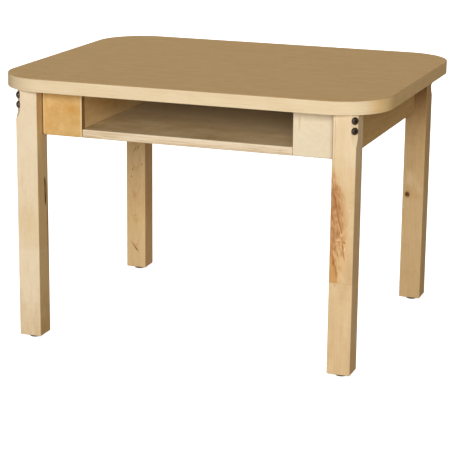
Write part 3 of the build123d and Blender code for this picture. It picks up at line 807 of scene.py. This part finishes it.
def laminate():
    g = Graph("laminate_tan")
    z = g.split(g.place)[2]
    wander = g.noise(g.place, (0.006, 0.02, 0.0), output=NOISE_COLOUR)
    wander = g.vector("SCALE", g.vector("SUBTRACT", wander, (0.5, 0.5, 0.5)), factor=16.0)
    bent = g.vector("ADD", g.place, wander)
    long_streaks = g.noise(bent, (0.011, 0.22, 0.0), shift=1.0, detail=3.0, rough=0.55)
    dashes = g.noise(bent, (0.045, 0.55, 0.0), shift=2.0, detail=2.0)
    fibre = g.noise(bent, (0.08, 2.4, 0.0), shift=3.0, detail=2.0)
    mottle = g.noise(g.place, (0.030, 0.05, 0.0), shift=4.0, detail=3.0, rough=0.6)
    stipple = g.noise(g.place, (1.6, 1.6, 1.6), shift=5.0, detail=2.0)
    tone = g.total(0.5, g.gain(long_streaks, 0.55, -0.275), g.gain(dashes, 0.42, -0.21),
                   g.gain(fibre, 0.3, -0.15), g.gain(mottle, 0.45, -0.225), g.gain(stipple, 0.12, -0.06))
    face = g.ramp(tone, (0.0, linear(218, 186, 136)), (0.5, linear(204, 170, 119)),
                  (1.0, linear(182, 146, 94)))
    cut_edge = g.rise(z, 519.62, 519.5)
    colour = g.blend(cut_edge, face, linear(150, 112, 68))
    handled = g.noise(g.place, (0.012, 0.012, 0.0), shift=6.0, detail=3.0)
    rough = g.total(LAMINATE_ROUGHNESS, g.gain(handled, 0.12, -0.06), g.gain(stipple, 0.08, -0.04))
    relief = g.total(g.gain(stipple, 0.7), g.gain(fibre, 0.3))
    material = g.finish(colour, rough, relief, 0.05, specular_ior_level=LAMINATE_GLOSS)
    dress("top_laminate", material)


def edge_band():
    g = Graph("edge_maple")
    x, y, z = g.split(g.place)
    wander = g.gain(g.noise(g.place, (0.012, 0.012, 0.0), shift=1.0, detail=2.0), 5.0)
    level = g.total(z, wander)
    at = g.join(g.gain(x, 0.008), g.gain(y, 0.008), level)
    lines = g.noise(at, (1.0, 1.0, 0.55), shift=2.0, detail=3.0, rough=0.6)
    at = g.join(g.gain(x, 0.035), g.gain(y, 0.035), level)
    fine = g.noise(at, (1.0, 1.0, 2.6), shift=3.0, detail=2.0)
    at = g.join(g.gain(x, 0.10), g.gain(y, 0.10), level)
    dashes = g.rise(g.noise(at, (1.0, 1.0, 1.7), shift=4.0), 0.6, 0.75)
    mottle = g.noise(g.place, (0.02, 0.02, 0.06), shift=5.0, detail=3.0)
    tone = g.total(0.5, g.gain(lines, 0.7, -0.35), g.gain(fine, 0.4, -0.2), g.gain(dashes, 0.2),
                   g.gain(mottle, 0.4, -0.2))
    colour = g.ramp(tone, (0.0, linear(242, 226, 196)), (0.5, linear(232, 211, 175)),
                    (1.0, linear(212, 184, 140)))
    # Painted highlights along the band's eased upper and lower edges
    upper = g.rise(z, 517.4, 519.2)
    lower = g.rise(z, 497.0, 494.8)
    colour = g.blend(g.gain(upper, 0.4), colour, linear(250, 236, 206))
    colour = g.blend(g.gain(lower, 0.45), colour, linear(250, 234, 198))
    slant = g.gain(z, -SPLICE_SLANT, SPLICE_SLANT * SPLICE_HEIGHT)
    off_splice = g.math("ABSOLUTE", g.total(x, -SPLICE_X, slant))
    splice = g.math("MULTIPLY", g.rise(off_splice, 0.5, 0.15), g.rise(y, -303.0, -304.0))
    colour = g.blend(g.gain(splice, 0.28), colour, linear(176, 140, 94))
    rough = g.total(WOOD_ROUGHNESS, g.gain(lines, 0.1, -0.05), g.gain(dashes, 0.05))
    relief = g.total(g.gain(fine, -0.5), g.gain(lines, -0.3), g.gain(dashes, -0.2),
                     g.gain(splice, -0.6))
    colour = paint_side_shade(g, colour, BAND_SIDE_SHADE)
    dress("top_edge_band", g.finish(colour, rough, relief, specular_ior_level=WOOD_GLOSS))


def bolt_metal():
    """Dark bronze, worn lighter round the rims of the heads and of their sockets."""
    g = Graph("bolt_bronze")
    x, y, z = g.split(g.vector("ABSOLUTE", g.place))
    lateral = g.gain(g.math("SUBTRACT", x, y), math.sqrt(0.5), -BOLT_ASIDE)
    height = g.gain(g.math("ABSOLUTE", g.total(z, -BOLT_MIDDLE_HEIGHT)), 1.0, -BOLT_HALF_STEP)
    squares = g.total(g.math("MULTIPLY", lateral, lateral), g.math("MULTIPLY", height, height))
    radius = g.math("SQRT", squares)
    rim = g.rise(g.math("ABSOLUTE", g.total(radius, -BOLT_RIM_RADIUS)), 0.9, 0.1)
    socket = g.rise(g.math("ABSOLUTE", g.total(radius, -BOLT_SOCKET_RADIUS)), 0.6, 0.1)
    spots = g.noise(g.place, (1.3, 1.3, 1.3), detail=4.0, rough=0.65)
    worn = g.math("MULTIPLY", g.math("MAXIMUM", rim, socket), g.rise(spots, 0.35, 0.6))
    colour = g.ramp(spots, (0.3, linear(42, 34, 28)), (0.6, linear(58, 46, 37)))
    colour = g.blend(g.gain(worn, 0.4), colour, linear(112, 94, 78))
    # Painted shade: the socket's hollow is darker
    inside = g.rise(radius, 3.0, 2.2)
    colour = g.blend(g.gain(inside, 0.8), colour, linear(24, 19, 16))
    rough = g.total(0.42, g.gain(spots, 0.2, -0.1), g.gain(worn, -0.1))
    dress("leg_bolts", g.finish(colour, rough, spots, 0.05, metallic=0.9))


def bright_metals():
    for node in ("threaded_inserts", "block_screws", "top_screws", "shelf_screws"):
        g = Graph("zinc_steel_" + node)
        spots = g.noise(g.place, (0.9, 0.9, 0.9), detail=3.0, rough=0.6)
        turned = g.noise(g.place, (4.0, 4.0, 4.0), shift=2.0, detail=2.0)
        colour = g.ramp(spots, (0.3, linear(196, 192, 178)), (0.7, linear(164, 160, 150)))
        rough = g.total(0.28, g.gain(spots, 0.2, -0.1), g.gain(turned, 0.1, -0.05))
        dress(node, g.finish(colour, rough, turned, 0.02, metallic=1.0))
    for node in sorted(n for n in nodes if n.startswith("glide")):
        g = Graph("glide_dark_" + node)
        z = g.split(g.place)[2]
        scuff = g.noise(g.place, (0.7, 0.7, 0.4), shift=3.0, detail=4.0, rough=0.6)
        rubbed = g.math("MULTIPLY", g.rise(z, 1.1, 0.0), g.rise(scuff, 0.35, 0.6))
        colour = g.ramp(scuff, (0.3, linear(92, 84, 74)), (0.7, linear(66, 60, 54)))
        colour = g.blend(g.gain(rubbed, 0.6), colour, linear(150, 144, 134))
        rough = g.gain(scuff, 0.25, 0.25)
        dress(node, g.finish(colour, rough, scuff, 0.04, metallic=0.9))


def seen_rays(tree):
    """1 for rays from the camera, in reflections or through glass, and 0 for those that light."""
    path = tree.nodes.new("ShaderNodeLightPath")
    shiny = tree.nodes.new("ShaderNodeMath")
    shiny.operation = "MAXIMUM"
    tree.links.new(path.outputs["Is Glossy Ray"], shiny.inputs[0])
    tree.links.new(path.outputs["Is Transmission Ray"], shiny.inputs[1])
    seen = tree.nodes.new("ShaderNodeMath")
    seen.operation = "MAXIMUM"
    tree.links.new(path.outputs["Is Camera Ray"], seen.inputs[0])
    tree.links.new(shiny.outputs[0], seen.inputs[1])
    return seen.outputs[0]


def mix_shaders(tree, factor, first, second):
    node = tree.nodes.new("ShaderNodeMixShader")
    for socket, source in zip(node.inputs, (factor, first, second)):
        tree.links.new(source, socket)
    return node.outputs[0]


def make_floor():
    """A wide floor: plain where it bounces light, white where it is seen, clear from below."""
    half = FLOOR_SIZE / 2
    corners = [(-half, -half, 0), (half, -half, 0), (half, half, 0), (-half, half, 0)]
    mesh = bpy.data.meshes.new("floor")
    mesh.from_pydata(corners, [], [(0, 1, 2, 3)])
    floor = bpy.data.objects.new("floor", mesh)
    bpy.context.scene.collection.objects.link(floor)
    material = bpy.data.materials.new("floor")
    material.use_nodes = True
    tree = material.node_tree
    tree.nodes.clear()
    own_light = tree.nodes.new("ShaderNodeEmission")
    own_light.inputs["Strength"].default_value = FLOOR_OWN_LIGHT
    pale = tree.nodes.new("ShaderNodeBsdfDiffuse")
    pale.inputs["Color"].default_value = (1.0, 1.0, 1.0, 1.0)
    white = tree.nodes.new("ShaderNodeAddShader")
    tree.links.new(pale.outputs[0], white.inputs[0])
    tree.links.new(own_light.outputs[0], white.inputs[1])
    plain = tree.nodes.new("ShaderNodeBsdfDiffuse")
    plain.inputs["Color"].default_value = (*FLOOR_BOUNCE, 1.0)
    by_ray = mix_shaders(tree, seen_rays(tree), plain.outputs[0], white.outputs[0])
    facing = tree.nodes.new("ShaderNodeNewGeometry")
    clear = tree.nodes.new("ShaderNodeBsdfTransparent")
    one_sided = mix_shaders(tree, facing.outputs["Backfacing"], by_ray, clear.outputs[0])
    output = tree.nodes.new("ShaderNodeOutputMaterial")
    tree.links.new(one_sided, output.inputs["Surface"])
    mesh.materials.append(material)


def make_world():
    """A dim warm light from all round, and plain white where it is seen."""
    world = bpy.data.worlds.new("studio")
    bpy.context.scene.world = world
    world.use_nodes = True
    tree = world.node_tree
    tree.nodes.clear()
    light = tree.nodes.new("ShaderNodeBackground")
    light.inputs["Color"].default_value = (*WORLD_TINT, 1.0)
    light.inputs["Strength"].default_value = WORLD_LEVEL
    white = tree.nodes.new("ShaderNodeBackground")
    white.inputs["Color"].default_value = (1.0, 1.0, 1.0, 1.0)
    white.inputs["Strength"].default_value = 1.0
    shown = mix_shaders(tree, seen_rays(tree), light.outputs[0], white.outputs[0])
    output = tree.nodes.new("ShaderNodeOutputWorld")
    tree.links.new(shown, output.inputs["Surface"])


def make_lamp(name, turn, height, distance, size, level, tint):
    """A soft rectangular lamp aimed at the desk's middle, from a compass angle and a height."""
    middle = (cad_box[0] + cad_box[1]) / 2
    around, above = math.radians(turn), math.radians(height)
    way = Vector((math.sin(around) * math.cos(above), -math.cos(around) * math.cos(above),
                  math.sin(above)))
    lamp = bpy.data.lights.new(name, "AREA")
    lamp.shape = "RECTANGLE"
    lamp.size, lamp.size_y = size
    # The watts that bring a facing white surface at that distance to the level
    lamp.energy = level * (math.pi * distance) ** 2
    lamp.color = tint
    holder = bpy.data.objects.new(name, lamp)
    holder.location = middle + way * distance
    holder.rotation_euler = (-way).to_track_quat("-Z", "Y").to_euler()
    bpy.context.scene.collection.objects.link(holder)


def make_camera():
    camera = bpy.data.cameras.new("camera")
    camera.sensor_width = SENSOR_WIDTH
    camera.lens = FOCAL_PIXELS / IMAGE_PIXELS * SENSOR_WIDTH
    ahead = Vector((-math.sin(CAMERA_YAW) * math.cos(CAMERA_PITCH),
                    math.cos(CAMERA_YAW) * math.cos(CAMERA_PITCH), -math.sin(CAMERA_PITCH)))
    level_right = Vector((math.cos(CAMERA_YAW), math.sin(CAMERA_YAW), 0.0))
    level_up = level_right.cross(ahead)
    right = math.cos(CAMERA_ROLL) * level_right + math.sin(CAMERA_ROLL) * level_up
    up = math.cos(CAMERA_ROLL) * level_up - math.sin(CAMERA_ROLL) * level_right
    holder = bpy.data.objects.new("camera", camera)
    turn = Matrix((right, up, -ahead)).transposed().to_4x4()
    holder.matrix_world = Matrix.Translation(CAMERA_PLACE) @ turn
    bpy.context.scene.collection.objects.link(holder)
    bpy.context.scene.camera = holder


bpy.context.scene.view_settings.view_transform = "Standard"
make_camera()
make_world()
make_floor()
make_lamp("key_lamp", **KEY)
make_lamp("overhead_lamp", **OVERHEAD)
make_lamp("back_fill_lamp", **BACK_FILL)

front_left_leg()
front_right_leg()
back_left_leg()
back_right_leg()
side_aprons_and_back()
front_panel_left()
front_panel_right()
box_walls()
book_shelf()
hidden_wood()
laminate()
edge_band()
bolt_metal()
bright_metals()
